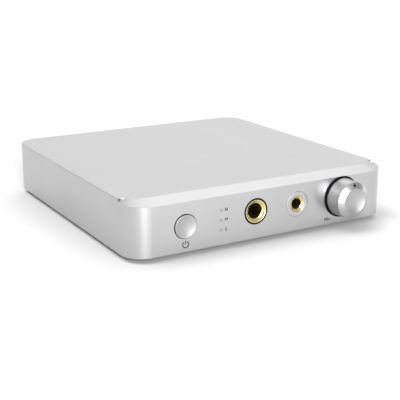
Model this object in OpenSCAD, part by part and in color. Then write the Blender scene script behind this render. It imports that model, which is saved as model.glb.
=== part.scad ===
// Desktop headphone amplifier.
// The origin is on the table under the middle of the case. +X is to the right seen from the
// front, +Y to the rear and +Z up, so the front face looks along -Y.
// A one-piece aluminium shell is open underneath and at the rear. The circuit board stands on
// the bottom cover, and its sockets reach out through the front wall and the rear panel.

/* [Case] */
// Width of the case
body_w = 119; // [116:1:160]
// Depth of the case, front face to rear face
body_d = 122; // [118:1:170]
// Height of the case without its feet
body_h = 21.3; // [20.8:0.1:30]
// Radius of the four upright corners
corner_r = 9; // [8:0.5:10]
// Thickness of the side walls
side_t = 2.5; // [2.2:0.1:3]
// Thickness of the front wall
front_t = 3; // [2.5:0.1:4]
// Thickness of the rear wall
rear_t = 3.5; // [3:0.1:4.5]
// Thickness of the top
top_t = 2.2; // [2:0.1:2.6]
// Front-to-back depth of the sloping band over the front face
band_run = 6.4; // [4:0.1:7]
// Drop of the sloping band at the front face
band_drop = 1.8; // [1:0.1:2]
// How far round each front corner the band runs, in degrees
band_wrap = 62; // [40:1:80]

/* [Bottom cover and feet] */
// Thickness of the bottom cover
cover_t = 1.5; // [1.2:0.1:2]
// Width of the shell's rim around the cover
cover_lip = 1.2; // [1:0.1:1.5]
// Diameter of a foot
foot_d = 10; // [8:0.5:14]
// Height of a foot
foot_h = 2; // [1:0.1:4]
// Distance of a foot's centre from the sides, front and rear
foot_inset = 15; // [13:0.5:25]
// Thread diameter of the cover and board screws
screw_d = 2.5; // [2:0.1:3]
// Head diameter of the cover and board screws
screw_head_d = 4.6; // [4:0.1:5]

/* [Circuit board] */
// Thickness of the circuit board
board_t = 1.6; // [1:0.1:2]
// Gap between the cover and the board, filled by the spacers
board_gap = 1.7; // [1.5:0.1:2.5]
// Gap between the board's edges and the walls
board_edge_gap = 1.5; // [0.5:0.1:2]
// Distance of the board's side screws from the board's middle, front to back
board_screw_y = 36; // [30:1:38]

/* [Volume knob] */
// Sideways place of the knob
knob_x = 35.4; // [33:0.1:38]
// Diameter of the knob at the front wall
knob_d = 15.6; // [14:0.1:19]
// Diameter of the knob at its front edge
knob_front_d = 15; // [13.6:0.1:18]
// Distance from the front wall to the knob's front edge
knob_side_len = 7.4; // [6.5:0.1:9]
// Distance from the front wall to the rim of the hollow in the knob's face
knob_len = 8.8; // [8.2:0.1:11]
// Diameter of the hollow in the knob's face
dish_d = 10.5; // [8:0.1:11.5]
// Depth of the hollow in the knob's face
dish_depth = 1; // [0.5:0.1:1.2]
// Gap between the knob and the front wall
knob_gap = 0.7; // [0.6:0.1:1]
// Diameter of the dot that shows where the knob points
index_d = 1; // [0.8:0.1:1.2]
// Diameter of the volume shaft
shaft_d = 6; // [5:0.1:6.2]

/* [Power button] */
// Sideways place of the power button
button_x = -37.1; // [-40:0.1:-35]
// Height of the button's centre above the case's underside
button_up = 10.05; // [9.8:0.05:11]
// Diameter of the button's cap
button_d = 9.1; // [8:0.1:9.6]
// Gap around the cap
button_gap = 0.28; // [0.2:0.01:0.4]
// How far the cap stands out of the front face
button_proud = 0.6; // [0.4:0.1:1.2]
// How far the button can be pressed
button_travel = 1; // [0.5:0.1:1.2]

/* [Gain lights] */
// Sideways place of the gain lights
light_x = -21.9; // [-23:0.1:-19]
// Distance from one light to the next
light_pitch = 3.88; // [3.2:0.01:4.2]
// Diameter of a light
light_d = 1.23; // [1:0.01:1.5]

/* [Headphone sockets] */
// Height of the socket, volume control and rear connector bodies above the board
socket_h = 12.6; // [12:0.1:13]
// Sideways place of the large headphone socket
large_x = -6.1; // [-9:0.1:-5]
// Bore of the large socket
large_bore = 6.45; // [6.4:0.01:6.6]
// Outer diameter of the large socket's metal sleeve
large_sleeve_d = 9.25; // [9:0.01:9.5]
// Outer diameter of the black ring round the large socket
large_ring_d = 10.5; // [10.2:0.1:11.5]
// Sideways place of the small headphone socket
small_x = 13.4; // [11:0.1:15]
// Bore of the small socket
small_bore = 4.5; // [4.45:0.01:4.6]
// Outer diameter of the small socket's metal sleeve
small_sleeve_d = 6.64; // [6.4:0.01:7]
// Outer diameter of the bright bezel round the small socket
small_bezel_d = 10.3; // [9:0.1:11]

/* [Rear connectors] */
// Thickness of the rear panel
panel_t = 1.5; // [1.2:0.1:1.8]
// How far the phono sockets stand out of the rear face
phono_out = 8.8; // [8:0.1:10]
// Distance between the two sockets of a phono pair
phono_pitch = 12; // [11.6:0.1:12.2]
// Sideways place of the line output pair
line_out_x = -2.5; // [-3:0.1:-2]
// Sideways place of the line input pair
line_in_x = 22; // [21.5:0.1:22.5]
// Sideways place of the outer balanced socket
balanced_x = -37.5; // [-37.8:0.1:-37]
// Distance between the two balanced sockets
balanced_pitch = 16; // [15:0.1:16.2]
// Sideways place of the power inlet
inlet_x = 39.5; // [39:0.1:40]

/* [Hidden] */
$fn = 64;
eps = 0.01;
fit_gap = 0.05;          // radial room round a screw, pin or pressed-in sleeve
slip_gap = 0.1;          // room round a plate in its seat

front_y = -body_d / 2;
rear_y = body_d / 2;
wall_y = front_y + front_t;
panel_y = rear_y - panel_t;
case_z = foot_h;
top_z = case_z + body_h;
roof_z = top_z - top_t;
cover_z = case_z + cover_t;
board_z = cover_z + board_gap;
deck_z = board_z + board_t;
socket_z = deck_z + socket_h / 2;
button_z = case_z + button_up;

boss_r = 3.2;
boss_bite = 0.6;         // how far a screw post runs into the walls beside it
boss_x = body_w / 2 - side_t - boss_r + boss_bite;
boss_front_y = wall_y + boss_r - boss_bite;
boss_rear_y = rear_y - rear_t - boss_r + boss_bite;
boss_hole_len = 7;
screw_head_h = 1.3;
cover_screw_len = 6;
key_share = 0.6;         // a screw's hex recess, as a share of its thread

panel_w = body_w - 2 * corner_r - 1.8;
ledge = 4.6;
window_w = panel_w - 2 * ledge;
window_top = roof_z - 1.1;
panel_screw_d = 2;
panel_head_d = 3.6;
panel_head_h = 1;
panel_screw_x = panel_w / 2 - ledge / 2;
panel_screw_z = [case_z + 4.4, roof_z - 3.2];

board_w = body_w - 2 * (side_t + board_edge_gap);
board_front_y = wall_y + 0.5;
board_rear_y = rear_y - rear_t - 0.5;
notch_gap = 0.5;
board_screw_x = board_w / 2 - 4.5;
board_head_h = 1.6;
board_screw_gap = 0.15;  // room round a board screw in the board
board_screw_end = 0.2;   // gap under a board screw's end
spacer_wall = 1.3;

nut_t = 2;
nut_flats = 9.6;
nut_d = nut_flats / cos(30);
recess_d = nut_d + 1.1;  // the knob's hollow back, round the nut
washer_t = 0.5;
washer_d = nut_flats + 0.8;
bushing_d = 8;
bushing_out = 3.2;
knob_recess = 3.8;
knob_ring_t = 0.4;
knob_ring_w = 0.7;
grub_d = 3;
grub_out = 5.4;
grub_sunk = 0.4;
index_depth = 0.8;       // how deep the dot is let into the knob's face
index_proud = 0.05;
index_r = (knob_front_d + dish_d) / 4;
shaft_out = 6.9;
shaft_end_gap = 0.2;     // gap between the shaft's end and the knob
shaft_flat = 0.5;
pot_w = 13;
pot_len = 16;
pot_wall = 1;
pot_cavity_r = 5.3;
gang_y = [3, 9];         // where the two gangs of the control start behind the front wall
gang_t = 1;
gang_gap = 0.6;
track_gap = 0.3;         // room round the shaft in a carbon track
wiper_gap = 0.5;         // room round a wiper in the control's body

button_rim = 0.35;
button_dish = 0.5;
flange_w = 13;
flange_h = 8;
flange_t = 0.8;
stem_d = 3;
stem_end_y = wall_y + 7;
switch_y = stem_end_y + button_travel + 0.5;
switch_len = 11.5;
switch_w = 8;
switch_wall = 1;
plunger_d = 2.4;
piston_d = 5.4;
piston_gap = 0.3;
piston_t = 1;
piston_y = switch_y + 2;
spring_r = 2;
spring_wire = 0.4;
spring_turns = 6;

lights_board_y = wall_y + 2.2;
lights_board_t = 1;
lights_board_h = 12.4;
lights_board_ends = [2, 4.5]; // how far the board runs past the button's flange and the lights
stem_gap = 0.7;          // room round the button's stem in that board
header_pins = 5;
header_pitch = 2;
header_w = 2.4;
header_pin = [0.5, 1.4, 1.2];
light_flange_d = 2;
light_flange_t = 0.8;
led_size = [1.6, 0.9, 0.8];

large_body_w = 14.5;
large_depth = 33;
large_sleeve_len = 9;
large_funnel = 0.9;
small_body_w = 11;
small_depth = 20;
small_sleeve_len = 7;
small_funnel = 0.7;
sleeve_lip = 0.25;
body_end_t = 1.5;
contact_start = 0.45;    // where a contact starts and its leg stands, as shares of the depth
contact_share = 0.4;
leg_start = 0.6;
contact_t = 0.5;
contact_h = 3.6;
leg_w = 1.4;
pocket_d = 1.6;
pocket_gap = 0.4;        // room round a contact in its pocket

balanced_w = 14;
balanced_nose_d = 9;
balanced_nose_out = 3.4;
balanced_depth = 33;
balanced_nut_d = 12.6;
balanced_nut_t = 2.4;
phono_d = 8.3;
phono_inner_d = 7;
phono_collar_d = 8.9;
phono_block_len = 12;
phono_core_in = 1.6;
phono_pin_bore = 3.3;
phono_pin_depth = 8;
block_gap = 0.1;
inlet_w = 9;
inlet_h = 11.6;
inlet_len = 14;
inlet_nose_d = 8;
inlet_nose_out = 0.3;
inlet_bore = 5.8;
inlet_bore_depth = 9.5;
inlet_pin_d = 2.1;
inlet_pin_in = 0.8;
hole_gap = 0.1;

// Parts on the circuit board: the first one's place, the distance to the next, and its size
capacitor_at = [-45, -8];
capacitor_pitch = [10, 11];
capacitor_d = 8;
capacitor_h = 11.5;
groove_up = 1.4;
groove_w = 0.8;
groove_depth = 0.25;
relay_at = [-7, 18];
relay_pitch = 11;
relay_size = [7.4, 14, 8];
chip_at = [2, -12];
chip_pitch = [9, 10];
chip_size = [5, 4, 1.6];
coil_at = [43, -14];
coil_pitch = 12;
coil_w = 9;
coil_h = 4;
coil_r = 1.5;

// A flat plate with rounded upright corners, centred on the Z axis
module slab(w, d, h, r) linear_extrude(h) {
    square([w - 2 * r, d], center = true);
    square([w, d - 2 * r], center = true);
    for (sx = [-1, 1], sy = [-1, 1])
        translate([sx * (w / 2 - r), sy * (d / 2 - r)]) circle(r);
}

// A tube standing on the XY plane
module tube(outer_d, inner_d, len) difference() {
    cylinder(d = outer_d, h = len);
    translate([0, 0, -eps]) cylinder(d = inner_d, h = len + 2 * eps);
}

// Puts a child that stands on its XY plane on the front face, so that it grows out of the case
module out_of_front(x, z) translate([x, front_y, z]) rotate([90, 0, 0]) children();

// Puts a child that stands on its XY plane at a depth y, so that it grows towards the rear
module to_rear(x, y, z) translate([x, y, z]) rotate([-90, 0, 0]) children();

// A box given by its middle in X, its low Y and Z, and its size
module block(x, y, z, size) translate([x - size[0] / 2, y, z]) cube(size);

module at_bosses() for (sx = [-1, 1], y = [boss_front_y, boss_rear_y])
    translate([sx * boss_x, y, 0]) children();

module at_board_screws() for (sx = [-1, 1], sy = [-1, 1])
    translate([sx * board_screw_x, sy * board_screw_y, 0]) children();

module at_panel_screws() for (sx = [-1, 1], z = panel_screw_z)
    translate([sx * panel_screw_x, rear_y, z]) rotate([90, 0, 0]) children();

// The radius of the ball that cuts a dish of radius r and the given depth
function dish_ball(r, depth) = (r * r + depth * depth) / (2 * depth);

// A countersunk screw with its flat head on the XY plane and its thread upwards
module sunk_screw(d, head_d, head_h, len) difference() {
    union() {
        cylinder(d1 = head_d, d2 = d, h = head_h);
        cylinder(d = d, h = len);
    }
    translate([0, 0, -eps]) cylinder(d = d * key_share, h = head_h * 0.7, $fn = 6);
}

// The hole that a countersunk screw sits in
module sunk_hole(d, head_d, head_h, len) {
    translate([0, 0, -eps]) cylinder(d1 = head_d + 2 * fit_gap, d2 = d + 2 * fit_gap, h = head_h);
    translate([0, 0, -eps]) cylinder(d = d + 2 * fit_gap, h = len + 2 * eps);
}

// Housing: the one-piece aluminium shell

module shell_cavity() {
    room_d = body_d - front_t - rear_t;
    translate([0, (front_t - rear_t) / 2, case_z - 1])
        slab(body_w - 2 * side_t, room_d, roof_z - case_z + 1, corner_r - side_t);
}

module cover_seat() {
    seat_d = body_d - cover_lip - panel_t;
    translate([0, (cover_lip - panel_t) / 2, case_z - 1])
        slab(body_w - 2 * cover_lip, seat_d, cover_t + 1, corner_r - cover_lip);
}

// The band slopes from the front face up to the top, and cones wrap it round both corners
module sloping_band() {
    past = 1;
    slope = band_drop / band_run;
    translate([-body_w / 2 + corner_r, front_y, top_z]) rotate([90, 0, 90])
        linear_extrude(body_w - 2 * corner_r)
            polygon([[-past, -band_drop - slope * past], [band_run, 0], [band_run, past],
                [-past, past]]);
    for (side = [0, 1]) mirror([side, 0, 0])
        translate([body_w / 2 - corner_r, front_y + corner_r, top_z]) rotate([0, 0, -90])
            rotate_extrude(angle = band_wrap, $fn = 96)
                polygon([[corner_r - band_run, 0], [corner_r + past, -band_drop - slope * past],
                    [corner_r + past, past], [corner_r - band_run, past]]);
}

module front_openings() {
    depth = front_t + 2;
    to_rear(button_x, front_y - 1, button_z) cylinder(d = button_d + 2 * button_gap, h = depth);
    to_rear(large_x, front_y - 1, socket_z) cylinder(d = large_ring_d + 2 * fit_gap, h = depth);
    to_rear(small_x, front_y - 1, socket_z) cylinder(d = small_bezel_d + 2 * fit_gap, h = depth);
    to_rear(knob_x, front_y - 1, socket_z) cylinder(d = bushing_d + 2 * hole_gap, h = depth);
    for (i = [0 : 2])
        to_rear(light_x, front_y - 1, light_z(i)) cylinder(d = light_d + fit_gap, h = depth);
}

module rear_opening() {
    block(0, rear_y - rear_t - 1, case_z - 1, [window_w, rear_t + 2, window_top - case_z + 1]);
    block(0, panel_y, case_z - 1, [panel_w, panel_t + 1, roof_z - case_z + 1]);
}

module housing() color("#d5d6d8") difference() {
    union() {
        difference() {
            translate([0, 0, case_z]) slab(body_w, body_d, body_h, corner_r);
            shell_cavity();
        }
        at_bosses() translate([0, 0, cover_z]) cylinder(r = boss_r, h = roof_z - cover_z + 0.5);
    }
    sloping_band();
    cover_seat();
    front_openings();
    rear_opening();
    at_bosses() translate([0, 0, cover_z - eps])
        cylinder(d = screw_d + 2 * fit_gap, h = boss_hole_len);
    at_panel_screws() cylinder(d = panel_screw_d + 2 * fit_gap, h = rear_t + 1);
}

// Bottom cover, its screws and the feet

module bottom_cover() color("#3a3b3d") difference() {
    d = body_d - cover_lip - panel_t - 2 * slip_gap;
    translate([0, (cover_lip - panel_t) / 2, case_z])
        slab(body_w - 2 * (cover_lip + slip_gap), d, cover_t, corner_r - cover_lip - slip_gap);
    at_bosses() translate([0, 0, case_z]) sunk_hole(screw_d, screw_head_d, screw_head_h, cover_t);
}

module cover_screws() color("#2a2b2d") at_bosses() translate([0, 0, case_z])
    sunk_screw(screw_d, screw_head_d, screw_head_h, cover_screw_len);

module foot(sx, sy) color("#232323")
    translate([sx * (body_w / 2 - foot_inset), sy * (body_d / 2 - foot_inset), 0]) {
        edge = min(0.4, foot_h / 3);
        cylinder(d1 = foot_d - 2 * edge, d2 = foot_d, h = edge);
        translate([0, 0, edge]) cylinder(d = foot_d, h = foot_h - edge);
    }

// Rear panel and its screws

module rear_panel() color("#303133") difference() {
    block(0, panel_y, case_z, [panel_w - 2 * slip_gap, panel_t, roof_z - case_z - slip_gap]);
    at_panel_screws() sunk_hole(panel_screw_d, panel_head_d, panel_head_h, panel_t);
    for (x = [balanced_x, balanced_x + balanced_pitch])
        to_rear(x, panel_y - 1, socket_z)
            cylinder(d = balanced_nose_d + 2 * hole_gap, h = panel_t + 2);
    for (x = [line_out_x, line_in_x], side = [-1, 1])
        to_rear(x + side * phono_pitch / 2, panel_y - 1, socket_z)
            cylinder(d = phono_collar_d + 2 * hole_gap, h = panel_t + 2);
    to_rear(inlet_x, panel_y - 1, socket_z)
        cylinder(d = inlet_nose_d + 2 * hole_gap, h = panel_t + 2);
}

module rear_panel_screws() color("#1f2022") at_panel_screws()
    sunk_screw(panel_screw_d, panel_head_d, panel_head_h, rear_t);

// Circuit board and what holds it

module main_board() color("#1c3d2c") difference() {
    notch = boss_r + notch_gap;
    block(0, board_front_y, board_z, [board_w, board_rear_y - board_front_y, board_t]);
    at_bosses() block(0, -notch, board_z - 1, [2 * notch, 2 * notch, board_t + 2]);
    at_board_screws() translate([0, 0, board_z - 1])
        cylinder(d = screw_d + 2 * board_screw_gap, h = board_t + 2);
}

module board_spacers() color("#b9a36a") at_board_screws() translate([0, 0, cover_z])
    tube(screw_d + 2 * spacer_wall, screw_d + 2 * fit_gap, board_gap);

module board_screws() color("#c4c6c8") at_board_screws() difference() {
    union() {
        translate([0, 0, cover_z + board_screw_end]) cylinder(d = screw_d, h = deck_z - cover_z);
        translate([0, 0, deck_z]) cylinder(d = screw_head_d, h = board_head_h);
    }
    translate([0, 0, deck_z + board_head_h / 2]) cylinder(d = screw_d * 0.7, h = 2, $fn = 6);
}

// Power button: the cap, and the push switch behind it with its return spring

module power_button() color("#dcdddf") difference() {
    union() {
        to_rear(button_x, front_y - button_proud, button_z)
            cylinder(d = button_d, h = button_proud + front_t + slip_gap + flange_t / 2);
        block(button_x, wall_y + slip_gap, button_z - flange_h / 2, [flange_w, flange_t, flange_h]);
        to_rear(button_x, wall_y + slip_gap + flange_t / 2, button_z)
            cylinder(d = stem_d, h = stem_end_y - wall_y - slip_gap - flange_t / 2);
    }
    ball = dish_ball(button_d / 2 - button_rim, button_dish);
    translate([button_x, front_y - button_proud + button_dish - ball, button_z])
        sphere(r = ball, $fn = 96);
}

module switch_plunger() color("#e9e6dc") {
    to_rear(button_x, stem_end_y, button_z) cylinder(d = plunger_d, h = piston_y - stem_end_y + 0.5);
    to_rear(button_x, piston_y, button_z) cylinder(d = piston_d, h = piston_t);
}

module switch_body() color("#26282b") difference() {
    block(button_x, switch_y, deck_z, [switch_w, switch_len, 2 * (button_z - deck_z)]);
    to_rear(button_x, switch_y + switch_wall, button_z)
        cylinder(d = piston_d + 2 * piston_gap, h = switch_len - 2 * switch_wall);
    to_rear(button_x, switch_y - 1, button_z)
        cylinder(d = plunger_d + 2 * hole_gap, h = switch_wall + 2);
}

// The return spring: a round wire swept along a helix
function helix_point(turn, r, pitch) = [r * cos(360 * turn), pitch * turn, r * sin(360 * turn)];
module switch_spring() color("#b4b6b8") {
    sides = 6;
    turn_steps = 12;
    steps = spring_turns * turn_steps;
    start_y = piston_y + piston_t + spring_wire / 2;
    end_y = switch_y + switch_len - switch_wall - spring_wire / 2;
    pitch = (end_y - start_y) / spring_turns;
    points = [for (i = [0 : steps], k = [0 : sides - 1])
        let (turn = i / turn_steps, a = 360 * k / sides, rr = spring_r + spring_wire / 2 * cos(a))
        helix_point(turn, rr, pitch) + [0, spring_wire / 2 * sin(a), 0]];
    walls = [for (i = [0 : steps - 1], k = [0 : sides - 1])
        [i * sides + k, i * sides + (k + 1) % sides,
         (i + 1) * sides + (k + 1) % sides, (i + 1) * sides + k]];
    start_cap = [[for (k = [sides - 1 : -1 : 0]) k]];
    end_cap = [[for (k = [0 : sides - 1]) steps * sides + k]];
    translate([button_x, start_y, button_z])
        polyhedron(points, concat(walls, start_cap, end_cap));
}

// Gain lights: three light pipes in the front wall, lit from a small upright board

function light_z(i) = button_z + (i - 1) * light_pitch;

module light_pipe(i) color("#9fa2a5") {
    to_rear(light_x, front_y, light_z(i)) cylinder(d = light_d, h = front_t + light_flange_t);
    to_rear(light_x, wall_y, light_z(i)) cylinder(d = light_flange_d, h = light_flange_t);
}

module light_led(i) color("#e8e2c4")
    block(light_x, lights_board_y - led_size[1], light_z(i) - led_size[2] / 2, led_size);

module lights_board() color("#1c3d2c") difference() {
    left = button_x - flange_w / 2 - lights_board_ends[0];
    right = light_x + lights_board_ends[1];
    translate([left, lights_board_y, deck_z]) cube([right - left, lights_board_t, lights_board_h]);
    to_rear(button_x, lights_board_y - 1, button_z)
        cylinder(d = stem_d + 2 * stem_gap, h = lights_board_t + 2);
}

module lights_header() color("#1b1c1e") {
    x0 = (button_x + light_x) / 2;
    strip_y = lights_board_y + lights_board_t;
    block(x0, strip_y, deck_z, [header_pins * header_pitch, header_w, header_w]);
    for (i = [0 : header_pins - 1])
        block(x0 + (i - (header_pins - 1) / 2) * header_pitch, strip_y + header_w, deck_z,
            header_pin);
}

// Headphone sockets. Each has a moulded body on the board, a metal sleeve pressed into it,
// a ring or bezel that fills the hole in the front wall, and two spring contacts.

module socket_sleeve(outer_d, bore, len, funnel) rotate_extrude()
    polygon([[bore / 2, -len], [outer_d / 2, -len], [outer_d / 2, slip_gap],
        [outer_d / 2 - sleeve_lip, slip_gap], [bore / 2, -funnel]]);

module socket_body(x, w, depth, sleeve_d, sleeve_len, bore) difference() {
    len = depth - front_t + body_end_t;
    block(x, wall_y, deck_z, [w, len, socket_h]);
    to_rear(x, wall_y - 1, socket_z)
        cylinder(d = sleeve_d + 2 * fit_gap, h = sleeve_len - front_t + 1);
    to_rear(x, wall_y - 1, socket_z) cylinder(d = bore, h = depth - front_t + 1);
    for (side = [-1, 1]) contact_pocket(x + side * w / 2, depth);
}

module contact_pocket(x, depth) {
    h = contact_h + 2 * pocket_gap;
    block(x, front_y + depth * contact_start, socket_z - h / 2,
        [2 * pocket_d, depth * contact_share, h]);
    block(x, front_y + depth * leg_start, deck_z - 1,
        [2 * pocket_d, leg_w + 2 * pocket_gap, socket_h / 2 + 1]);
}

module socket_contacts(x, w, depth) for (side = [-1, 1]) {
    inner = w / 2 - pocket_d + contact_t / 2 + slip_gap;
    block(x + side * inner, front_y + depth * contact_start + pocket_gap,
        socket_z - contact_h / 2, [contact_t, depth * contact_share - 2 * pocket_gap, contact_h]);
    block(x + side * inner, front_y + depth * leg_start + pocket_gap, deck_z,
        [contact_t, leg_w, (socket_h - contact_h) / 2 + pocket_gap]);
}

module large_socket_body() color("#1a1b1c")
    socket_body(large_x, large_body_w, large_depth, large_sleeve_d, large_sleeve_len, large_bore);
module large_socket_sleeve() color("#d8b85a") out_of_front(large_x, socket_z)
    socket_sleeve(large_sleeve_d, large_bore, large_sleeve_len, large_funnel);
module large_socket_ring() color("#141414")
    to_rear(large_x, front_y - 0.15, socket_z)
        tube(large_ring_d, large_sleeve_d + 2 * fit_gap, front_t + 0.15);
module large_socket_contacts() color("#c9a94f")
    socket_contacts(large_x, large_body_w, large_depth);

module small_socket_body() color("#1a1b1c")
    socket_body(small_x, small_body_w, small_depth, small_sleeve_d, small_sleeve_len, small_bore);
module small_socket_sleeve() color("#d8b85a") out_of_front(small_x, socket_z)
    socket_sleeve(small_sleeve_d, small_bore, small_sleeve_len, small_funnel);
module small_socket_bezel() color("#cfd0d2")
    to_rear(small_x, front_y - slip_gap, socket_z)
        tube(small_bezel_d, small_sleeve_d + 2 * fit_gap, front_t + slip_gap);
module small_socket_contacts() color("#c9a94f")
    socket_contacts(small_x, small_body_w, small_depth);

// Volume control: a two-gang rotary control on the board, held to the front wall by its nut

module volume_body() color("#8f9296") difference() {
    block(knob_x, wall_y, deck_z, [pot_w, pot_len, socket_h]);
    to_rear(knob_x, wall_y + pot_wall, socket_z)
        cylinder(r = pot_cavity_r, h = pot_len - 2 * pot_wall);
    to_rear(knob_x, wall_y - 1, socket_z) cylinder(d = shaft_d + 2 * hole_gap, h = pot_wall + 2);
}

module volume_bushing() color("#b8babd") to_rear(knob_x, front_y - bushing_out, socket_z)
    tube(bushing_d, shaft_d + 2 * fit_gap, front_t + bushing_out);

module volume_washer() color("#c9cbcd") out_of_front(knob_x, socket_z)
    tube(washer_d, bushing_d + 2 * fit_gap, washer_t);

module volume_nut() color("#b8babd") out_of_front(knob_x, socket_z)
    translate([0, 0, washer_t]) difference() {
        cylinder(d = nut_d, h = nut_t, $fn = 6);
        translate([0, 0, -1]) cylinder(d = bushing_d + 2 * fit_gap, h = nut_t + 2);
    }

module volume_tracks() color("#6d4a2a") for (y = gang_y)
    to_rear(knob_x, wall_y + y + gang_t + gang_gap, socket_z)
        tube(2 * (pot_cavity_r - fit_gap), shaft_d + 2 * track_gap, gang_t);

module volume_wipers() color("#d9d2b8") for (y = gang_y)
    to_rear(knob_x, wall_y + y, socket_z)
        tube(2 * (pot_cavity_r - wiper_gap), shaft_d, gang_t);

module volume_shaft() color("#c4c6c8") difference() {
    shaft_in = gang_y[1] + 2 * gang_t + gang_gap + 1;
    to_rear(knob_x, front_y - shaft_out, socket_z)
        cylinder(d = shaft_d, h = shaft_out + front_t + shaft_in);
    block(knob_x, front_y - shaft_out - 1, socket_z - shaft_d / 2 - 1,
        [shaft_d, shaft_out - knob_recess + 1, shaft_flat + 1]);
}

// Knob: an outline turned round the shaft, with a spherical hollow in its face
function knob_face_h(r) = knob_side_len
    + (knob_len - knob_side_len) * (knob_front_d / 2 - r) / (knob_front_d / 2 - dish_d / 2);

module volume_knob() color("#d0d1d3") out_of_front(knob_x, socket_z) difference() {
    rotate_extrude($fn = 128) polygon([[0, knob_gap], [knob_d / 2, knob_gap],
        [knob_front_d / 2, knob_side_len], [dish_d / 2, knob_len], [0, knob_len]]);
    ball = dish_ball(dish_d / 2, dish_depth);
    translate([0, 0, knob_len - dish_depth + ball]) sphere(r = ball, $fn = 128);
    translate([0, 0, knob_gap - 1]) cylinder(d = recess_d, h = knob_recess - knob_gap + 1);
    cylinder(d = shaft_d + 2 * fit_gap, h = shaft_out + shaft_end_gap);
    translate([0, 0, grub_out]) rotate([90, 0, 0])
        cylinder(d = grub_d + 2 * fit_gap, h = knob_d);
    translate([0, index_r, knob_face_h(index_r) - index_depth])
        cylinder(d = index_d, h = index_depth + 1);
}

module knob_index() color("#101010") out_of_front(knob_x, socket_z)
    translate([0, index_r, knob_face_h(index_r) - index_depth])
        cylinder(d = index_d, h = index_depth + index_proud);

module knob_screw() color("#5a5c5f") out_of_front(knob_x, socket_z)
    translate([0, -shaft_d / 2 + shaft_flat - fit_gap, grub_out]) rotate([90, 0, 0]) difference() {
        cylinder(d = grub_d, h = knob_d / 2 - shaft_d / 2 - grub_sunk);
        translate([0, 0, grub_d * 2 / 3]) cylinder(d = grub_d / 2, h = knob_d, $fn = 6);
    }

module knob_ring() color("#151515") out_of_front(knob_x, socket_z)
    tube(knob_d + 2 * knob_ring_w, recess_d, knob_ring_t);

// Rear connectors

module balanced_body(x) color("#1a1b1c") difference() {
    back_y = rear_y + balanced_nose_out;
    len = balanced_depth - balanced_nose_out - panel_t - block_gap + body_end_t;
    union() {
        block(x, panel_y - block_gap - len, deck_z, [balanced_w, len, socket_h]);
        to_rear(x, panel_y - block_gap - 1, socket_z)
            cylinder(d = balanced_nose_d, h = balanced_nose_out + panel_t + block_gap + 1);
    }
    to_rear(x, back_y - balanced_depth, socket_z) cylinder(d = large_bore, h = balanced_depth + 1);
}

module balanced_nuts() color("#2b2c2e") for (i = [0, 1])
    to_rear(balanced_x + i * balanced_pitch, rear_y, socket_z) difference() {
        cylinder(d = balanced_nut_d, h = balanced_nut_t, $fn = 6);
        translate([0, 0, -1]) cylinder(d = balanced_nose_d + 2 * fit_gap, h = balanced_nut_t + 2);
    }

module phono_block(x) color("#1a1b1c")
    block(x, panel_y - block_gap - phono_block_len, deck_z,
        [2 * phono_pitch - 1, phono_block_len, socket_h]);

// A phono socket's metal barrel, with a collar where it passes the rear panel
module phono_shell(x) color("#d6c48a") to_rear(x, panel_y - block_gap, socket_z) difference() {
    union() {
        cylinder(d = phono_d, h = panel_t + block_gap + phono_out);
        cylinder(d = phono_collar_d, h = panel_t + block_gap);
    }
    translate([0, 0, -1])
        cylinder(d = phono_inner_d + 2 * fit_gap, h = panel_t + block_gap + phono_out + 2);
}

module phono_cores() color("#e6e6e2") for (x = [line_out_x, line_in_x], side = [-1, 1])
    to_rear(x + side * phono_pitch / 2, panel_y - block_gap, socket_z) difference() {
        len = panel_t + block_gap + phono_out - phono_core_in;
        cylinder(d = phono_inner_d, h = len);
        translate([0, 0, len - phono_pin_depth])
            cylinder(d = phono_pin_bore, h = phono_pin_depth + 1);
    }

module inlet_body() color("#1a1b1c") difference() {
    union() {
        block(inlet_x, panel_y - block_gap - inlet_len, deck_z, [inlet_w, inlet_len, inlet_h]);
        to_rear(inlet_x, panel_y - block_gap - 1, socket_z)
            cylinder(d = inlet_nose_d, h = panel_t + block_gap + inlet_nose_out + 1);
    }
    to_rear(inlet_x, rear_y + inlet_nose_out - inlet_bore_depth, socket_z)
        cylinder(d = inlet_bore, h = inlet_bore_depth + 1);
}

module inlet_pin() color("#c9cbcd")
    to_rear(inlet_x, rear_y + inlet_nose_out - inlet_bore_depth, socket_z)
        cylinder(d = inlet_pin_d, h = inlet_bore_depth - inlet_pin_in);

// Parts on the circuit board, in rows behind the headphone sockets

module capacitors() color("#2c3038") for (i = [0 : 3], j = [0 : 1])
    translate([capacitor_at[0] + i * capacitor_pitch[0],
            capacitor_at[1] + j * capacitor_pitch[1], deck_z]) difference() {
        cylinder(d = capacitor_d, h = capacitor_h);
        translate([0, 0, groove_up])
            tube(capacitor_d + 1, capacitor_d - 2 * groove_depth, groove_w);
    }

module relays() color("#e2dfd6") for (i = [0 : 3])
    block(relay_at[0] + i * relay_pitch, relay_at[1], deck_z, relay_size);

module amplifier_chips() color("#1d1e20") for (i = [0 : 3], j = [0 : 1])
    block(chip_at[0] + i * chip_pitch[0], chip_at[1] + j * chip_pitch[1], deck_z, chip_size);

module power_coils() color("#4a4b4d") for (j = [0 : 1])
    translate([coil_at[0], coil_at[1] + j * coil_pitch, deck_z]) slab(coil_w, coil_w, coil_h, coil_r);

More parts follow.
